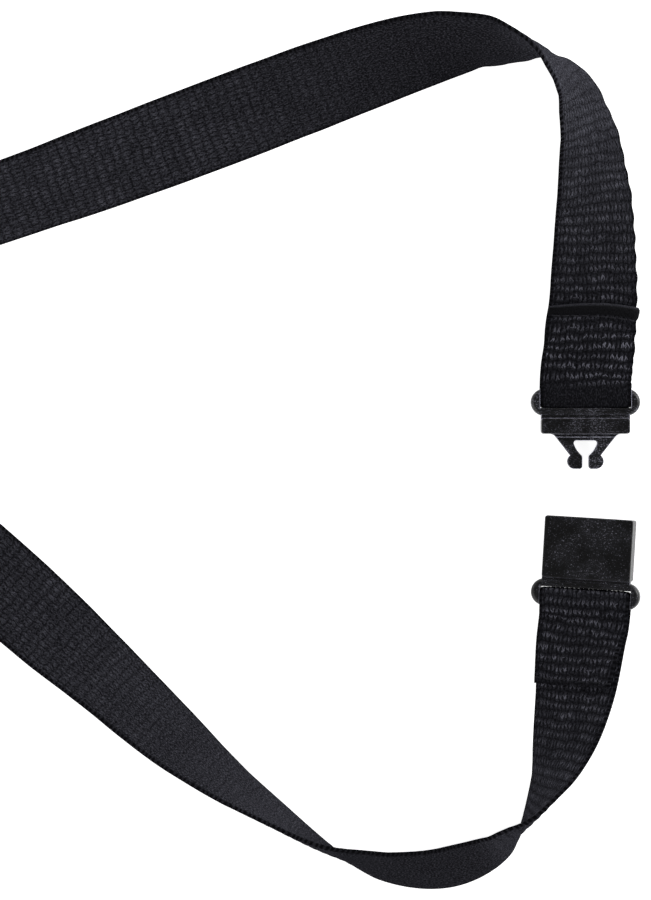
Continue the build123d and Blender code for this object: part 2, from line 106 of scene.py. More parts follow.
LOWER = [
    (-1.0, -47.4, 17, 0), (-2.0, -56.5, 31, 0), (-3.2, -62.8, 40, 0), (-4.8, -69.5, 50, 0),
    (-6.6, -75.0, 62, 0), (-9.2, -80.6, 76, 0), (-12.7, -86.6, 89, 0), (-17.0, -90.4, 106, 0),
    (-21.1, -93.8, 116, 0), (-28.1, -96.8, 122, 0), (-35.0, -97.9, 120, 0), (-43.1, -97.3, 114, 0),
    (-49.4, -95.7, 106, 0), (-56.2, -93.5, 94, 0), (-61.7, -90.6, 86, 0), (-68.9, -85.7, 78, 0),
    (-75.3, -81.2, 71, 0), (-82.5, -75.9, 62, 0), (-90.0, -69.8, 52, 0), (-97.6, -63.1, 45, 0),
    (-105.5, -55.8, 40, 0), (-115.3, -47.4, 27, 0), (-127.4, -36.7, 14, 0), (-147.7, -19.3, 12, 0),
    (-169.7, -5.3, 22, 0), (-195.7, 4.7, 19, 0), (-222.7, 10.7, 10, 0), (-252.7, 14.4, 4, 0),
    (-287.7, 16.6, 0, 0), (-308.0, 17.2, 0, 0.7), (-318.0, 17.2, 0, 0.9), (-326.0, 17.2, 0, 0.9),
]

# The halves' webbing bars, the female one's before that half is turned open: x and y of the bar's
# middle, and which way along y the webbing leaves. WRAP_RADIUS is from a bar's middle to that of
# the webbing round it.
BUCKLE_MID = 2.3
WRAP_RADIUS = 1.6
MALE_BAR = (0.0, 6.6, 1)
FEMALE_BAR = (0.0, -37.9, -1)

# A strap runs flat under its bar up to LEAD_END past it. Its doubled end comes to lie on it at
# FOLD_LANDS along it, from where it has FOLD_POINTS more points, with FOLD_GAP between the layers.
LEAD_END = 4.9
FOLD_LANDS = 7.5
FOLD_POINTS = 6
FOLD_GAP = 0.05 * MM

# How the female half is turned from lying flat to lying open.
female_turn = next(joint for joint in frame["joints"] if joint["name"] == "female_turn")
OPEN_ANGLE = math.radians(female_turn["range_deg"][1])
OPENED = Matrix.Rotation(-OPEN_ANGLE, 3, Vector(female_turn["axis"]))
HINGE = Vector(female_turn["pos_m"])


def on_half(half, along, height, across=0.0):
    """A point beside a half's bar, as the half lies: along the webbing, above the bar, across."""
    x, y, side = half
    point = Vector((x - side * across, y + side * along, BUCKLE_MID + height)) * MM
    if side < 0:
        point = HINGE + OPENED @ (point - HINGE)
    return np.array(point)


def half_lines(half, places):
    """Centre and edge control points for webbing at these (along, height) places by a bar."""
    centres = [on_half(half, along, height) for along, height in places]
    edges = [on_half(half, along, height, WIDE / 2) for along, height in places]
    return centres, edges


def spline_points(points):
    """The points of the smooth NURBS line that has these control points."""
    curve = bpy.data.curves.new("route", "CURVE")
    curve.dimensions = "3D"
    spline = curve.splines.new("NURBS")
    spline.points.add(len(points) - 1)
    for target, point in zip(spline.points, points):
        target.co = (*point, 1.0)
    spline.order_u = 3
    spline.use_endpoint_u = True
    spline.resolution_u = 12
    holder = bpy.data.objects.new("route", curve)
    bpy.context.scene.collection.objects.link(holder)
    bpy.context.view_layer.update()
    mesh = bpy.data.meshes.new_from_object(holder)
    line = np.array([v.co for v in mesh.vertices])
    bpy.data.objects.remove(holder)
    bpy.data.meshes.remove(mesh)
    return line


def station_lines(stations):
    """Centre and raised-edge control points of a strap."""
    centres, edges = [], []
    for i, (x, y, tilt, lift) in enumerate(stations):
        before = stations[max(i - 1, 0)]
        after = stations[min(i + 1, len(stations) - 1)]
        ahead = np.array([after[0] - before[0], after[1] - before[1]])
        ahead = ahead / np.linalg.norm(ahead)
        lean = math.radians(tilt)
        height = WIDE / 2 * math.sin(lean) + THIN / 2 * abs(math.cos(lean)) + lift
        centre = np.array([x, y, height]) * MM
        across = np.array([-ahead[1] * math.cos(lean), ahead[0] * math.cos(lean), math.sin(lean)])
        centres.append(centre)
        edges.append(centre + across * WIDTH / 2)
    return centres, edges


def strap_rows(half, stations):
    """The rows of a whole strap, from under its buckle half's bar to the front crimp."""
    lead_centres, lead_edges = half_lines(half, [(0, -WRAP_RADIUS), (LEAD_END, -WRAP_RADIUS)])
    centres, edges = station_lines(stations)
    centre = spline_points(lead_centres + centres)
    edge = spline_points(lead_edges + edges)
    return even_rows(centre, edge)


def fold_rows(half, strap, hem_at, reach):
    """The rows of a strap's doubled end: round the bar, reaching this far past its middle, then
    back along the strap to the hem."""
    wrap = [
        (0, -WRAP_RADIUS), (-1.2, -WRAP_RADIUS), (-reach, -1.0), (-reach, 1.0), (-1.2, WRAP_RADIUS),
        (1.6, WRAP_RADIUS + 0.1), (4.0, 0.5),
    ]
    centres, edges = half_lines(half, wrap)
    for at in np.linspace(FOLD_LANDS * MM, hem_at, FOLD_POINTS):
        row = int(np.searchsorted(strap["at"], at))
        middle = strap["middle"][row] + strap["up"][row] * (THICK + FOLD_GAP)
        centres.append(middle)
        edges.append(middle + strap["across"][row] * WIDTH / 2)
    return even_rows(spline_points(centres), spline_points(edges))


def even_rows(centre, edge):
    """The two lines at even steps along the centre line, with each row's frame."""
    along = np.concatenate([[0], np.cumsum(np.linalg.norm(np.diff(centre, axis=0), axis=1))])
    count = int(round(along[-1] / ROW_STEP)) + 1
    at = np.linspace(0, along[-1], count)
    middle = np.stack([np.interp(at, along, centre[:, k]) for k in range(3)], axis=1)
    side = np.stack([np.interp(at, along, edge[:, k]) for k in range(3)], axis=1) - middle
    return rows_from(middle, side, at)


def rows_from(middle, side, at):
    """Rows of a strap: its middle, the unit vectors across it, out of its upper face and along it,
    and how far along it each row is."""
    ahead = np.gradient(middle, axis=0)
    ahead /= np.linalg.norm(ahead, axis=1)[:, None]
    side = side - (side * ahead).sum(1)[:, None] * ahead
    side /= np.linalg.norm(side, axis=1)[:, None]
    return {"middle": middle, "across": side, "up": np.cross(ahead, side), "at": at, "ahead": ahead}


# ---- webbing mesh ---------------------------------------------------------------------------
# Across a strap: the points of a face between its edges, how wide the selvedge is, and how high it
# stands, where 1 is the top of a yarn.
FACE_POINTS = 57
SELVEDGE = 1.1 * MM
SELVEDGE_HEIGHT = 0.75

# How far the edges wander and over what length. A strap stands on its edge from UPRIGHT_FROM on,
# where 1 is upright.
EDGE_WANDER = 0.05 * MM
WANDER_LENGTH = 7 * MM
UPRIGHT_FROM = 0.93

# A melted band sets in over MELT_EDGE, is wider by MELT_WIDER on each side and thicker by the share
# MELT_THICKER, and ends in a lip whose last stretch is painted with a highlight. A hem's wave dies
# out over HEM_REACH.
MELT_EDGE = 0.35 * MM
MELT_WIDER = 0.25 * MM
MELT_THICKER = 0.14
LIP_HIGHLIGHT = 0.18 * MM
HEM_REACH = 8 * MM

# How deep the relief is cut, as a share of half the thickness, for these strengths of the painted
# highlights on the tops.
RELIEF_TOPS = (0.0, 0.35)
RELIEF_DEPTH = (0.12, 0.4)


def smooth_noise(values, seed, scale):
    """Smooth repeatable noise between -1 and 1 along a line, with features about scale long."""
    rng = np.random.default_rng(seed)
    span = max(values.max() - values.min(), scale)
    knots = rng.uniform(-1, 1, int(span / scale) + 5)
    place = (values - values.min()) / scale + 1
    low = place.astype(int)
    part = place - low
    part = part * part * (3 - 2 * part)
    return knots[low] * (1 - part) + knots[low + 1] * part


def cross_positions():
    """Where the points of one face lie across the webbing, from -1 to 1."""
    edge = np.array([0.975, 0.992, 1])
    return np.concatenate([-edge[::-1], np.linspace(-0.95, 0.95, FACE_POINTS), edge])


def weave_height(at, across, seed):
    """Height of the woven face, 0 in the valleys to 1 on the yarns, at each row and position."""
    rib = 0.5 + 0.5 * np.cos(2 * np.pi * at / PICK)
    yarn = 0.5 + 0.5 * np.cos(2 * np.pi * across / YARN)
    rng = np.random.default_rng(seed)
    ribs = (at / PICK + 0.5).astype(int) + 2
    ends = np.floor(across / YARN + 0.5).astype(int) + 40
    uneven = rng.uniform(0.6, 1.0, (ribs.max() + 3, ends.max() + 3))
    selvedge = np.clip((WIDTH / 2 - np.abs(across)) / SELVEDGE, 0, 1)
    bump = rib ** 0.7 * (0.35 + 0.65 * yarn) * uneven[ribs, ends]
    return bump * selvedge + SELVEDGE_HEIGHT * (1 - selvedge)


def nothing(values):
    return np.zeros(len(values))


def full_width(at):
    return np.ones(len(at)), np.zeros(len(at))


def webbing(
    name, rows, material, seed, wear_and_painted_light, sealed=0.0, shift=nothing, scallop=nothing, skew=nothing,
    fit=full_width, cup=0.0,
):
    """A closed strip of ribbed webbing along the rows. sealed is the length of the melted band at
    its last end, and shift moves the rows of that end along the strap across its width. Along the
    strap, the painted-light table gives how strong the painted highlights on the top of its yarns are
    and how bright the rest of its yarns is painted, lighter where it faces the lamp and darker in
    shade; scallop how far one edge stands out, skew how far the ribs lead at the other, and fit the
    width and sideways place. cup is how far the strap's middle bulges where it stands on its edge."""
    across = cross_positions()

    def spread_over(values):
        return np.repeat(values[:, None], len(across), axis=1)

    def along_rows(direction, amount):
        return rows[direction][:, None, :] * amount[:, :, None]

    at = spread_over(rows["at"])
    far = rows["at"][-1] - at
    melt = np.clip(1 - (far - sealed) / MELT_EDGE, 0, 1) if sealed else np.zeros_like(at)
    wander = EDGE_WANDER * smooth_noise(rows["at"], seed, WANDER_LENGTH)
    half_width = spread_over(HALF_WIDTH + wander) + scallop(rows["at"])[:, None] * (across < 0)
    half_width = half_width + MELT_WIDER * melt * np.clip(far / (0.5 * MM), 0, 1) ** 0.5
    narrow, aside = fit(rows["at"])
    place = across[None, :] * half_width
    woven = at + skew(rows["at"])[:, None] * across[None, :]
    near_end = np.clip(1 - far / HEM_REACH, 0, 1)
    crown = THICK / 2 * np.clip(1 - np.abs(across) ** 11, 0, 1) ** 0.5
    upright = np.clip((rows["across"][:, 2] - UPRIGHT_FROM) / (1 - UPRIGHT_FROM), 0, 1)
    bulge = cup * upright[:, None] * (0.5 - across[None, :] ** 2)
    # How strong the painted highlights on the yarn tops are, and how bright the yarns are painted, along
    # the strap.
    top_highlights, body = (spread_over(np.interp(rows["at"] / MM, wear_and_painted_light[0], values)) for values in wear_and_painted_light[1:])
    relief = np.interp(top_highlights, RELIEF_TOPS, RELIEF_DEPTH)
    faces = []
    for face, sign in ((0, 1), (1, -1)):
        bump = weave_height(woven + face * PICK / 2, place, seed + face)
        height = crown[None, :] * (1 - relief * (1 - bump) * (1 - melt)) * (1 + MELT_THICKER * melt)
        height = height * np.clip(0.35 + far / (0.9 * MM), 0, 1) ** 0.5
        points = (
            rows["middle"][:, None, :]
            + along_rows("across", place * narrow[:, None] + aside[:, None])
            + along_rows("up", sign * height + bulge)
            + along_rows("ahead", shift(across)[None, :] * near_end)
        )
        faces.append(points)
    # A painted highlight on the lip at the very end of the melted band.
    lip_highlight = np.clip(1 - far / LIP_HIGHLIGHT, 0, 1) * melt
    layers = {"weave": (woven / MM, place / MM), "melt": (melt, lip_highlight), "wear_and_painted_light": (top_highlights, body)}
    return strip(name, faces, layers, material)


def strip(name, faces, layers, material):
    """A closed strip from the points of its two faces, with a UV layer for each pair of values."""
    ring = around(*faces)
    rows, corners = ring.shape[:2]
    index = np.arange(rows * corners).reshape(rows, corners)
    a, b = index[:-1], index[1:]
    quads = np.stack([a, np.roll(a, -1, 1), np.roll(b, -1, 1), b], axis=-1).reshape(-1, 4)
    sides = [tuple(quad) for quad in quads.tolist()]
    mesh = bpy.data.meshes.new(name)
    mesh.from_pydata(ring.reshape(-1, 3).tolist(), [], sides + end_caps(index))
    for layer, (first, second) in layers.items():
        add_layer(mesh, layer, around(first, first), around(second, second))
    mesh.validate()
    mesh.update()
    mesh.shade_smooth()
    return add_piece(name, mesh, material)


def around(top, bottom):
    """What the two faces have at each row, joined into one ring round the strip."""
    return np.concatenate([top, bottom[:, -2:0:-1]], axis=1)


def add_layer(mesh, name, first, second):
    """A UV layer from two values for each vertex."""
    points = np.stack([first, second], axis=-1).reshape(-1, 2)
    corner = np.zeros(len(mesh.loops), dtype=int)
    mesh.loops.foreach_get("vertex_index", corner)
    mesh.uv_layers.new(name=name).data.foreach_set("uv", points[corner].ravel())


def add_piece(name, mesh, material):
    piece = bpy.data.objects.new(name, mesh)
    bpy.context.scene.collection.objects.link(piece)
    mesh.materials.append(material)
    return piece


# A seam's stitches on one face: their number, length and pitch, the thread's radius, how far a
# stitch may lie askew, and the rings and corners of its mesh.
STITCHES = 9
STITCH_LENGTH = 1.75 * MM
STITCH_PITCH = 2.12 * MM
STITCH_ASKEW = 0.12
THREAD_RADIUS = 0.16 * MM
THREAD_TWIST = 0.18
RINGS = 9
CORNERS = 8


def stitches(name, rows, at, material, sides, shift):
    """A row of thread stitches across the webbing at a place along it: each rises out of the
    face, runs across and dips in again. sides are the heights of the faces they lie on, and shift
    is how far each is moved along the webbing."""
    row = int(np.searchsorted(rows["at"], at))
    middle, side, up = rows["middle"][row], rows["across"][row], rows["up"][row]
    ahead = np.cross(side, up)
    rng = np.random.default_rng(5)
    vertices, faces = [], []
    for face in sides:
        out = math.copysign(1.0, face)
        for k in range(STITCHES):
            centre = (k - (STITCHES - 1) / 2) * STITCH_PITCH
            skew = rng.uniform(-STITCH_ASKEW, STITCH_ASKEW) * MM
            moved = middle + ahead * shift(centre / HALF_WIDTH)
            faces += tube_faces(len(vertices))
            for i in range(RINGS):
                t = i / (RINGS - 1) * 2 - 1
                hump = face + out * THREAD_RADIUS * (0.75 - 1.6 * t ** 4)
                core = moved + side * (centre + t * STITCH_LENGTH / 2) + up * hump + ahead * skew * t
                thin = THREAD_RADIUS * (1 - 0.55 * abs(t) ** 5)
                for c in range(CORNERS):
                    turn = 2 * math.pi * (c / CORNERS + THREAD_TWIST * i)
                    vertices.append(core + thin * (up * math.cos(turn) + ahead * math.sin(turn)))
    mesh = bpy.data.meshes.new(name)
    mesh.from_pydata([tuple(v) for v in vertices], [], faces)
    mesh.update()
    mesh.shade_smooth()
    return add_piece(name, mesh, material)


def tube_faces(start):
    """The faces of one stitch's closed tube, whose points are numbered from start on."""
    faces = []
    for low in range(start, start + (RINGS - 1) * CORNERS, CORNERS):
        high = low + CORNERS
        for c in range(CORNERS):
            d = (c + 1) % CORNERS
            faces.append((low + c, low + d, high + d, high + c))
    last = start + (RINGS - 1) * CORNERS
    faces.append(tuple(range(start + CORNERS - 1, start - 1, -1)))
    faces.append(tuple(range(last, last + CORNERS)))
    return faces


def end_caps(index):
    """Faces that close a strip's two ends: quads between its upper and lower points."""
    caps = []
    for row, flip in ((index[0], False), (index[-1], True)):
        k = len(row)
        half = k // 2
        for j in range(half):
            corners = [row[j], row[j + 1], row[(k - j - 1) % k], row[(k - j) % k]]
            corners = list(dict.fromkeys(int(c) for c in corners))
            if len(corners) > 2:
                caps.append(tuple(corners if flip else corners[::-1]))
    return caps


# ---- materials ------------------------------------------------------------------------------
BLUE_TINT = 1.22


class Nodes:
    """Short names for building one material's nodes."""

    def __init__(self, name):
        self.material = bpy.data.materials.new(name)
        self.material.use_nodes = True
        self.tree = self.material.node_tree
        self.shader = self.tree.nodes["Principled BSDF"]

    def add(self, kind, **settings):
        node = self.tree.nodes.new(kind)
        for key, value in settings.items():
            setattr(node, key, value)
        return node

    def link(self, source, target):
        self.tree.links.new(source, target)

    def fill(self, target, value):
        """Put a number, colour or another node's output into an input."""
        if isinstance(value, bpy.types.NodeSocket):
            self.link(value, target)
        else:
            target.default_value = value

    def math(self, operation, a, b=0.0):
        node = self.add("ShaderNodeMath", operation=operation)
        self.fill(node.inputs[0], a)
        self.fill(node.inputs[1], b)
        return node.outputs[0]

    def spread(self, value, low, high, out_low=0.0, out_high=1.0):
        """A value's range low to high, stretched to another range and held inside it."""
        node = self.add("ShaderNodeMapRange")
        for socket, number in zip(node.inputs, (value, low, high, out_low, out_high)):
            self.fill(socket, number)
        return node.outputs[0]

    def noise(self, vector, scale, detail=2.0, stretch=(1, 1, 1)):
        place = self.add("ShaderNodeMapping")
        self.fill(place.inputs["Vector"], vector)
        place.inputs["Scale"].default_value = stretch
        node = self.add("ShaderNodeTexNoise")
        self.link(place.outputs[0], node.inputs["Vector"])
        node.inputs["Scale"].default_value = scale
        node.inputs["Detail"].default_value = detail
        return node.outputs["Fac"]

    def mix(self, share, a, b):
        node = self.add("ShaderNodeMix", data_type="RGBA")
        self.fill(node.inputs[0], share)
        self.fill(node.inputs[6], a)
        self.fill(node.inputs[7], b)
        return node.outputs[2]

    def object_place(self):
        """Where a point is on the piece itself, in metres."""
        return self.add("ShaderNodeTexCoord").outputs["Object"]

    def rounded(self, radius):
        """The normal of the surface with its edges rounded off."""
        node = self.add("ShaderNodeBevel", samples=6)
        node.inputs["Radius"].default_value = radius
        return node.outputs[0]

    def parts(self, vector):
        """The first two numbers of a vector or colour."""
        node = self.add("ShaderNodeSeparateXYZ")
        self.fill(node.inputs[0], vector)
        return node.outputs[0], node.outputs[1]

    def mix_value(self, share, a, b):
        node = self.add("ShaderNodeMix", data_type="FLOAT")
        self.fill(node.inputs[0], share)
        self.fill(node.inputs[2], a)
        self.fill(node.inputs[3], b)
        return node.outputs[0]

    def times(self, *values):
        """The product of two or more values."""
        product = values[0]
        for value in values[1:]:
            product = self.math("MULTIPLY", product, value)
        return product

    def absolute(self, value):
        return self.math("ABSOLUTE", value)

    def white_noise(self, dimensions, place):
        """White noise of a number or a vector: its Value and its Color."""
        node = self.add("ShaderNodeTexWhiteNoise", noise_dimensions=dimensions)
        self.link(place, node.inputs["W" if dimensions == "1D" else "Vector"])
        return node.outputs

    def bump(self, height, distance, strength=1.0, before=None):
        node = self.add("ShaderNodeBump")
        node.inputs["Strength"].default_value = strength
        node.inputs["Distance"].default_value = distance
        self.link(height, node.inputs["Height"])
        if before is not None:
            self.link(before, node.inputs["Normal"])
        return node.outputs[0]

    def set(self, **values):
        for key, value in values.items():
            self.fill(self.shader.inputs[key.replace("_", " ")], value)


def grey(value):
    """A grey of this brightness with a slight blue tint."""
    return (value, value, value * BLUE_TINT, 1.0)


def webbing_material(name):
    """Black woven polyester: knobs in rows across the strap, lighter on top as a painted highlight,
    parted by near-black hollows that are partly their own dark and partly painted shade; a small
    painted highlight, a pale inverted V, on the top of each, as strong as the painted-light table
    asks; pale fuzz between them that is a painted sheen; the edges are dark with a dotted line and
    carry no painted highlights, and a sealed end has a smooth band with a painted highlight along
    its cut end."""
    # Painted shade for the hollows, and painted highlights for the knob tops, the fuzz's sheen and the V
    # marks.
    shaded_gap, knob_top_highlight, fuzz_sheen, knob_v_highlight = grey(0.0035), grey(0.062), grey(0.08), grey(0.21)
    # The melted band's own dark colours, and a painted highlight for its lip.
    melted, melted_strand, lip_highlight_colour = grey(0.001), grey(0.008), grey(0.05)
    n = Nodes(name)
    uv = n.add("ShaderNodeUVMap", uv_map="weave").outputs[0]
    along, across = n.parts(uv)
    melt, lip_highlight = n.parts(n.add("ShaderNodeUVMap", uv_map="melt").outputs[0])
    # Painted highlight strength and painted light along the strap.
    top_highlights, body = n.parts(n.add("ShaderNodeUVMap", uv_map="wear_and_painted_light").outputs[0])
    strands = n.spread(n.noise(uv, 3.6, stretch=(0.7, 1.6, 1)), 0.35, 0.68)
    patches = n.spread(n.noise(uv, 0.14, detail=3.0), 0.36, 0.6)
    bend = n.spread(n.noise(uv, 0.33), 0.3, 0.7, -0.35, 0.35)
    drift = n.spread(n.noise(uv, 0.8), 0.3, 0.7, -0.3, 0.3)

    # Which rib and which knob of it a place is on, and how far it is from the knob's middle.
    yarn_at = n.math("DIVIDE", n.math("ADD", across, drift), YARN / MM)
    column = n.white_noise("1D", n.math("ROUND", yarn_at))
    stagger = n.spread(column["Value"], 0, 1, -0.2, 0.2)
    rib_at = n.math("DIVIDE", n.math("ADD", n.math("ADD", along, bend), stagger), PICK / MM)
    rib = n.math("ROUND", rib_at)
    rib_off = n.math("SUBTRACT", rib_at, rib)
    rib_luck = n.white_noise("1D", rib)
    end_at = n.math("ADD", yarn_at, n.spread(rib_luck["Value"], 0, 1, -0.2, 0.2))
    end = n.math("ROUND", end_at)
    end_off = n.math("SUBTRACT", end_at, end)
    cell = n.add("ShaderNodeCombineXYZ")
    n.link(rib, cell.inputs[0])
    n.link(end, cell.inputs[1])
    chance = n.white_noise("2D", cell.outputs[0])
    luck = chance["Value"]
    slant = n.parts(chance["Color"])[0]

    # The painted highlights on the knobs: two legs that splay downwards from the knob's top.
    splay = n.times(n.math("SUBTRACT", 0.22, rib_off), n.spread(slant, 0, 1, 0.45, 0.8))
    off_leg = n.absolute(n.math("SUBTRACT", n.absolute(end_off), splay))
    on_leg = n.spread(off_leg, 0.05, 0.15, 1.0, 0.0)
    in_height = n.spread(n.absolute(rib_off), 0.13, 0.23, 1.0, 0.0)
    marks = n.times(on_leg, in_height, n.spread(luck, 0, 1, 0.15, 1.0))

    # The knobs themselves, lighter on top as a painted highlight. They fade where the painted
    # highlights are weak, and the selvedge has dots in their stead.
    knob_long = n.spread(n.absolute(rib_off), 0.34, 0.5, 1.0, 0.15)
    knob = n.times(knob_long, n.spread(n.absolute(end_off), 0.26, 0.46, 1.0, 0.1))
    selvedge = n.spread(n.absolute(across), 9.1, 9.5, 1.0, 0.0)
    dots = n.spread(n.math("COSINE", n.times(rib_at, 4 * math.pi)), -0.6, 0.4, 0.6, 0.0)
    knob = n.mix_value(n.spread(top_highlights, 0.01, 0.16, 0.25, 0.95), 0.32, knob)
    knob = n.mix_value(selvedge, dots, knob)

    # Fuzz between them, pale as a painted sheen, and all of it together, dark to light.
    fuzz = n.spread(n.noise(uv, 2.6, stretch=(0.8, 1.4, 1)), 0.49, 0.64)
    fuzz = n.times(fuzz, selvedge, n.spread(top_highlights, 0.0, 0.4, 1.0, 0.3))
    marks = n.times(marks, selvedge, n.spread(patches, 0, 1, 0.35, 1.0))
    strand_shade = n.times(n.spread(strands, 0, 1, 0.05, 0.85), n.spread(luck, 0, 1, 0.7, 1.0))
    body_shade = n.times(body, n.spread(patches, 0, 1, 0.7, 1.0))
    # Painted shade in the hollows against painted highlights on the knob tops, scaled by the painted
    # light along the strap.
    woven = n.mix(n.times(knob, strand_shade, body_shade), shaded_gap, knob_top_highlight)
    # The fuzz's painted sheen, scaled by the painted light along the strap.
    woven = n.mix(n.times(fuzz, n.times(body, 0.6)), woven, fuzz_sheen)
    # The painted highlight V on each knob, as strong as the painted-light table asks.
    woven = n.mix(n.times(marks, top_highlights), woven, knob_v_highlight)

    # The sealed band, with a painted highlight along its lip.
    smooth = n.mix(strands, melted, melted_strand)
    smooth = n.mix(n.times(lip_highlight, n.spread(strands, 0, 1, 0.2, 1.0)), smooth, lip_highlight_colour)
    relief = n.times(n.math("ADD", knob, marks), n.math("SUBTRACT", 1.0, melt))
    n.set(
        Base_Color=n.mix(melt, woven, smooth),
        Roughness=n.mix_value(melt, 0.9, 0.55),
        Specular_IOR_Level=n.mix_value(melt, 0.0, 0.03),
    )
    normal = n.bump(relief, 0.14 * MM, 0.8)
    n.set(Normal=n.bump(strands, 0.05 * MM, 0.7, before=normal))
    return n.material


def plastic_material(name, scuffs, edge_highlight_strength):
    """Black acetal with a fine moulded grain, dust, scuffed patches and edges painted paler as
    highlights where their roundings catch the light. scuffs and the last argument are how strong the
    patches and the painted edge highlights are."""
    # The last colour is a painted highlight for the rounded edges.
    clean, hazy, mark, edge_highlight_colour = grey(0.001), grey(0.005), grey(0.2), grey(0.75)
    n = Nodes(name)
    place = n.object_place()
    grain = n.noise(place, 4200, detail=3.0)
    patches = n.spread(n.noise(place, 150), 0.4, 0.6)
    dust = n.spread(n.noise(place, 3600, detail=1.0), 0.65, 0.74)
    specks = n.times(dust, n.spread(patches, 0, 1, 0.5, 1.0))
    nicks = n.spread(n.noise(place, 3000, stretch=(1, 1.5, 1)), 0.55, 0.68)
    nicks = n.times(nicks, n.spread(patches, 0, 1, 0.1 * scuffs, scuffs))
    marks = n.math("MAXIMUM", specks, nicks)
    facing = n.add("ShaderNodeVectorMath", operation="DOT_PRODUCT")
    n.link(n.add("ShaderNodeNewGeometry").outputs["Normal"], facing.inputs[0])
    n.link(n.rounded(0.35 * MM), facing.inputs[1])
    # Painted highlights along the rounded edges, where the fillets catch the light, broken up by noise.
    edge = n.spread(facing.outputs["Value"], 0.8, 0.95, 1.0, 0.0)
    edge_highlights = n.times(edge, n.spread(n.noise(place, 1300), 0.35, 0.6, 0.25 * edge_highlight_strength, edge_highlight_strength))
    n.set(
        Base_Color=n.mix(edge_highlights, n.mix(marks, n.mix(patches, clean, hazy), mark), edge_highlight_colour),
        Roughness=n.spread(grain, 0.3, 0.7, 0.28, 0.46),
        Specular_IOR_Level=0.33,
    )
    n.set(Normal=n.bump(grain, 0.035 * MM, 0.8))
    return n.material


def thread_material(name):
    """Black twisted sewing thread."""
    n = Nodes(name)
    twist = n.noise(n.object_place(), 6000, stretch=(1, 0.35, 1))
    n.set(Base_Color=n.mix(twist, grey(0.004), grey(0.03)), Roughness=0.7, Specular_IOR_Level=0.1)
    n.set(Normal=n.bump(twist, 0.04 * MM, 0.7))
    return n.material


def steel_material(name, shade, roughness):
    """Nickel-plated steel with softened edges, fine scratches and a little wear."""
    n = Nodes(name)
    place = n.object_place()
    wear_and_painted_light = n.noise(place, 260, detail=4.0)
    scratches = n.noise(place, 2600, detail=3.0, stretch=(0.15, 1, 1))
    bright = (shade, shade * 0.98, shade * 0.94, 1)
    dull = (shade * 0.86, shade * 0.85, shade * 0.83, 1)
    n.set(
        Base_Color=n.mix(n.spread(wear_and_painted_light, 0.35, 0.65), bright, dull),
        Metallic=1.0,
        Roughness=n.spread(scratches, 0.3, 0.7, roughness * 0.85, roughness * 1.2),
    )
    n.set(Normal=n.bump(scratches, 0.01 * MM, 0.15, before=n.rounded(0.5 * MM)))
    return n.material


webbing_black = webbing_material("black_webbing")
scuffed_black = plastic_material("scuffed_black_acetal", 0.9, 0.85)
plastic_black = plastic_material("black_acetal", 0.2, 0.3)
thread_black = thread_material("black_thread")
nickel = steel_material("nickel_steel", 0.82, 0.4)
spring_steel = steel_material("spring_steel", 0.7, 0.36)


# ---- the straps -----------------------------------------------------------------------------
SCALLOPED = 75 * MM

# The doubled ends: where their hems lie along the strap, how many millimetres they reach past the
# bar's middle, the length of the upper one's melted band, how far before the last row their seams
# run, and the heights of the faces that the stitches lie on.
MALE_HEM = 20.5 * MM
FEMALE_HEM = 19.4 * MM
MALE_REACH = 2.12
FEMALE_REACH = 2.0
SEALED_BAND = 2.3 * MM
MALE_SEAM_BACK = 2.8 * MM
FEMALE_SEAM_BACK = 1.2 * MM
SEAM_FACES = (THICK / 2, -1.5 * THICK)

# How far each strap's middle bulges where it stands on its edge.
UPPER_CUP = 1.9 * MM
LOWER_CUP = -1.3 * MM

# The front loop, in millimetres: x and height of the swivel eye's bar, the distance from there to
# the webbing, the loop's y, the heights of its two layers in the crimp, and how far from the
# crimp's middle they run level.
EYE_BAR_X = -342.0
EYE_BAR_Z = 3.2
LOOP_WRAP = 2.45
LOOP_Y = 17.2
LOOP_LOW = 1.6
LOOP_HIGH = 3.1
LOOP_FREE = 7.2

# The painted light along each webbing: distances along it in millimetres, how strong the painted
# highlights on its yarn tops are there, and how bright the rest of the yarns is painted, lighter
# where a stretch faces the key lamp and darker where it lies in shade, such as by a bar.
UPPER_PAINTED_LIGHT = (
    (0, 20, 55, 68, 76, 90, 115, 145, 170, 400),
    (0.35, 0.45, 0.24, 0.15, 0.04, 0.0, 0.03, 0.13, 0.2, 0.2),
    (0.5, 0.6, 0.95, 1.3, 1.7, 0.75, 0.75, 0.9, 1.0, 1.0),
)
LOWER_PAINTED_LIGHT = (
    (0, 18, 24, 32, 46, 60, 64, 95, 110, 135, 165, 195, 400),
    (0.5, 0.7, 0.5, 0.35, 0.2, 0.04, 0.0, 0.0, 0.02, 0.04, 0.13, 0.2, 0.2),
    (0.6, 0.9, 0.9, 0.85, 1.0, 1.0, 0.65, 0.55, 1.2, 0.9, 0.85, 0.9, 0.9),
)
MALE_FOLD_PAINTED_LIGHT = (
    (0, 8, 10, 14, 18, 24, 40),
    (0.0, 0.0, 0.6, 1.0, 0.9, 0.3, 0.2),
    (0.3, 0.35, 0.5, 0.6, 0.6, 0.55, 0.45),
)
FEMALE_FOLD_PAINTED_LIGHT = ((0, 4, 7, 40), (0.2, 0.4, 0.65, 0.5), (0.5, 0.9, 0.75, 0.7))
LOOP_PAINTED_LIGHT = ((0, 100), (0.2, 0.2), (0.8, 0.8))


def hem_wave(across):
    """How far the upper hem reaches past its row, across the webbing."""
    return (0.9 * np.cos((across + 0.25) * 1.6) - 0.7 - 0.45 * across) * MM


def lower_fit(at):
    """The lower strap's doubled end narrows a little towards its hem and lies off centre."""
    share = np.clip(at / FEMALE_HEM, 0, 1) ** 1.5
    return 1 - 0.06 * share, -0.35 * MM * share


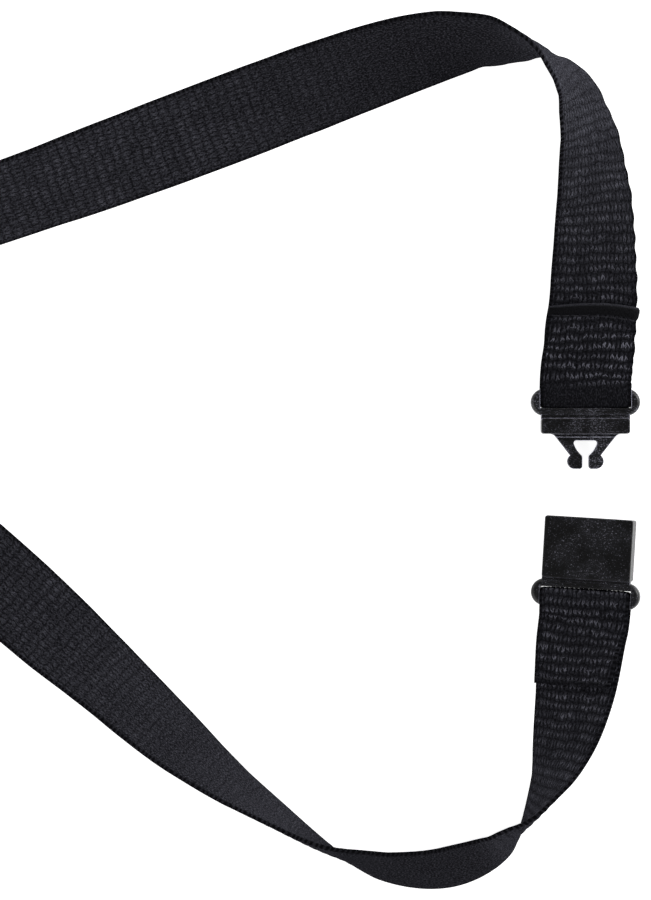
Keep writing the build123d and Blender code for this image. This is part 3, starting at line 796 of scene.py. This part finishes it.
def male_skew(at):
    """How far the ribs of the upper strap's doubled end run askew."""
    return 1.1 * MM * np.clip(at / (10 * MM), 0, 1)


def straight_hem(across):
    """The slight waviness of the lower hem."""
    return 0.1 * MM * np.sin(across * 9)


def upper_scallop(at):
    """The yarn loops that stand out along the upper strap's outer edge beside the buckle."""
    fade = np.clip((SCALLOPED - at) / (10 * MM), 0, 1)
    return (0.16 * np.cos(np.pi * at / PICK) + 0.08 * smooth_noise(at, 3, 5 * MM)) * fade * MM


def front_loop_rows():
    """The short loop from the crimp round the swivel eye's bar and back to the crimp."""
    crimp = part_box("front_crimp")
    start = (crimp[0][0] + crimp[1][0]) / 2 / MM
    near, far = EYE_BAR_X + 3, EYE_BAR_X - LOOP_WRAP - 0.2
    top, bottom = EYE_BAR_Z + LOOP_WRAP, EYE_BAR_Z - LOOP_WRAP
    side = [
        (start, LOOP_HIGH), (start - LOOP_FREE, LOOP_HIGH), (near, top), (EYE_BAR_X, top + 0.1),
        (far, EYE_BAR_Z + 1.7), (far, EYE_BAR_Z - 1.7),
        (EYE_BAR_X, bottom - 0.1), (near, bottom), (start - LOOP_FREE, LOOP_LOW), (start, LOOP_LOW),
    ]
    centres = [np.array([x, LOOP_Y, z]) * MM for x, z in side]
    edges = [centre + np.array([0, WIDTH / 2, 0]) for centre in centres]
    return even_rows(spline_points(centres), spline_points(edges))


upper_rows = strap_rows(MALE_BAR, UPPER)
lower_rows = strap_rows(FEMALE_BAR, LOWER)
male_rows = fold_rows(MALE_BAR, upper_rows, MALE_HEM, MALE_REACH)
female_rows = fold_rows(FEMALE_BAR, lower_rows, FEMALE_HEM, FEMALE_REACH)
upper_strap = webbing(
    "upper_strap", upper_rows, webbing_black, 11, UPPER_PAINTED_LIGHT, scallop=upper_scallop, cup=UPPER_CUP
)
lower_strap = webbing("lower_strap", lower_rows, webbing_black, 23, LOWER_PAINTED_LIGHT, cup=LOWER_CUP)
male_fold = webbing(
    "male_fold", male_rows, webbing_black, 37, MALE_FOLD_PAINTED_LIGHT, sealed=SEALED_BAND, shift=hem_wave,
    scallop=upper_scallop, skew=male_skew,
)
female_fold = webbing(
    "female_fold", female_rows, webbing_black, 41, FEMALE_FOLD_PAINTED_LIGHT, shift=straight_hem, fit=lower_fit,
)
front_loop = webbing("front_loop", front_loop_rows(), webbing_black, 53, LOOP_PAINTED_LIGHT)
male_stitches = stitches(
    "male_stitches", male_rows, male_rows["at"][-1] - MALE_SEAM_BACK, thread_black, SEAM_FACES,
    lambda across: 0.65 * hem_wave(across),
)
female_stitches = stitches(
    "female_stitches", female_rows, female_rows["at"][-1] - FEMALE_SEAM_BACK, thread_black, SEAM_FACES,
    straight_hem,
)
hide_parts("webbing_upper_bend", "webbing_upper_run")
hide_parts("webbing_lower_bend", "webbing_lower_run")
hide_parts("webbing_male_fold")
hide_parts("webbing_female_fold")
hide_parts("webbing_front_loop")
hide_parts("male_seam")
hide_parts("female_seam")
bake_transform(upper_strap)
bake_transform(lower_strap)
for piece in (male_fold, male_stitches):
    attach(piece, "male")
for piece in (female_fold, female_stitches):
    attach(piece, "female")
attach(front_loop, "lanyard")

for material, nodes in (
    (scuffed_black, ("male_half",)),
    (plastic_black, ("female_half",)),
    (nickel, ("front_crimp", "swivel_eye", "swivel_rivet", "hook_body", "hook_gate")),
    (spring_steel, ("gate_pin", "gate_spring")),
):
    for node in nodes:
        shown = frame["nodes"][node]
        shown.data.materials.clear()
        shown.data.materials.append(material)


# ---- floor and light ------------------------------------------------------------------------
FLOOR_REACH = 6.0
FLOOR_GLOW = 0.85

# Each lamp: its name, where it hangs, its width and depth, and its power in watts.
LAMPS = (
    ("key", (1.2, 0.5, 0.7), (0.7, 0.7), 16),
    ("fill", (-1.2, -0.6, 0.9), (1.0, 1.0), 8),
)


def floor():
    """A pale light table: it glows, so that nothing on it throws a hard shadow."""
    mesh = bpy.data.meshes.new("floor")
    signs = ((-1, -1), (1, -1), (1, 1), (-1, 1))
    corners = [(x * FLOOR_REACH, y * FLOOR_REACH, 0) for x, y in signs]
    mesh.from_pydata(corners, [], [(0, 1, 2, 3)])
    table = bpy.data.objects.new("floor", mesh)
    bpy.context.scene.collection.objects.link(table)
    n = Nodes("pale_table")
    n.set(Base_Color=(0.85, 0.85, 0.85, 1), Roughness=0.9, Specular_IOR_Level=0.2)
    n.set(Emission_Color=(1, 1, 1, 1), Emission_Strength=FLOOR_GLOW)
    mesh.materials.append(n.material)


def area_light(name, place, size, power):
    """A rectangular lamp that shines at the middle of the view."""
    aim = Vector((*VIEW_CENTRE, 0))
    data = bpy.data.lights.new(name, "AREA")
    data.shape = "RECTANGLE"
    data.size, data.size_y = size
    data.energy = power
    lamp = bpy.data.objects.new(name, data)
    lamp.location = place
    lamp.rotation_euler = (aim - Vector(place)).to_track_quat("-Z", "Y").to_euler()
    lamp.visible_camera = False
    bpy.context.scene.collection.objects.link(lamp)


def studio():
    """A white studio, brightest around its walls and dim overhead."""
    world = bpy.data.worlds.new("studio")
    world.use_nodes = True
    tree = world.node_tree
    place = tree.nodes.new("ShaderNodeTexCoord")
    split = tree.nodes.new("ShaderNodeSeparateXYZ")
    level = tree.nodes.new("ShaderNodeMapRange")
    tree.links.new(place.outputs["Generated"], split.inputs[0])
    tree.links.new(split.outputs["Z"], level.inputs["Value"])
    for name, value in (("From Min", 0.15), ("From Max", 0.8), ("To Min", 1.4), ("To Max", 0.08)):
        level.inputs[name].default_value = value
    tree.links.new(level.outputs[0], tree.nodes["Background"].inputs["Strength"])
    tree.nodes["Background"].inputs["Color"].default_value = (1, 1, 1, 1)
    bpy.context.scene.world = world


floor()
studio()
for name, place, size, power in LAMPS:
    area_light(name, place, size, power)
